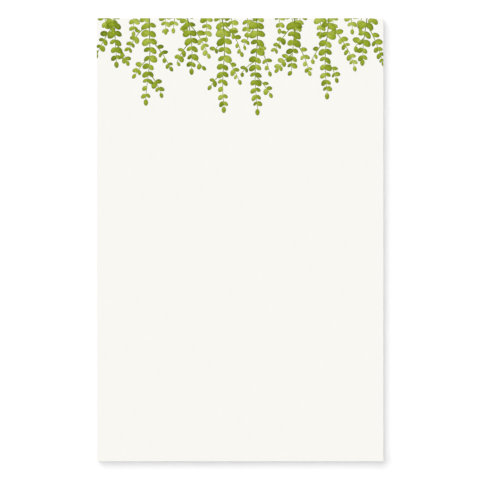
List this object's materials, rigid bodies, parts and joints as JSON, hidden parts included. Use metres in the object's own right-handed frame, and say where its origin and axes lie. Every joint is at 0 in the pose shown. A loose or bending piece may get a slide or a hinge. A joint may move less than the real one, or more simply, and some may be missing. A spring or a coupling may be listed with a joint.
{
  "type": "notepad",
  "caption": "Half-letter notepad: a stack of cream sheets glued along the head to a chipboard back, with a printed border of round-leaved sprigs along the head.",
  "frame": {"origin": "centre of the underside, on the backing board's lower face", "axes": "+X across the page to the reader's right, +Y towards the glued head, +Z out of the writing face"},
  "size_m": [0.1396, 0.2162, 0.007],
  "materials": {
    "paper": "uncoated writing paper, warm white",
    "board": "grey-brown chipboard",
    "glue": "dried padding glue, off-white, slightly glossy",
    "ink": "matte leaf-green print on the paper"
  },
  "bodies": {
    "root": {"backing_board": "board", "sheet_01": "paper", "sheet_02": "paper", "sheet_03": "paper", "sheet_04": "paper", "sheet_05": "paper", "sheet_06": "paper", "sheet_07": "paper", "sheet_08": "paper", "sheet_09": "paper", "sheet_10": "paper", "sheet_11": "paper", "sheet_12": "paper", "sheet_13": "paper", "sheet_14": "paper", "sheet_15": "paper", "sheet_16": "paper", "sheet_17": "paper", "sheet_18": "paper", "sheet_19": "paper", "sheet_20": "paper", "sheet_21": "paper", "sheet_22": "paper", "sheet_23": "paper", "sheet_24": "paper", "sheet_25": "paper", "sheet_26": "paper", "sheet_27": "paper", "sheet_28": "paper", "sheet_29": "paper", "sheet_30": "paper", "sheet_31": "paper", "sheet_32": "paper", "sheet_33": "paper", "sheet_34": "paper", "sheet_35": "paper", "sheet_36": "paper", "sheet_37": "paper", "sheet_38": "paper", "sheet_39": "paper", "sheet_40": "paper", "sheet_41": "paper", "sheet_42": "paper", "sheet_43": "paper", "sheet_44": "paper", "sheet_45": "paper", "sheet_46": "paper", "sheet_47": "paper", "sheet_48": "paper", "sheet_49": "paper", "sheet_50": "paper", "glue_strip": "glue", "sprig_1": "ink", "sprig_2": "ink", "sprig_3": "ink", "sprig_4": "ink", "sprig_5": "ink", "sprig_6": "ink", "sprig_7": "ink", "sprig_8": "ink"}
  },
  "joints": []
}
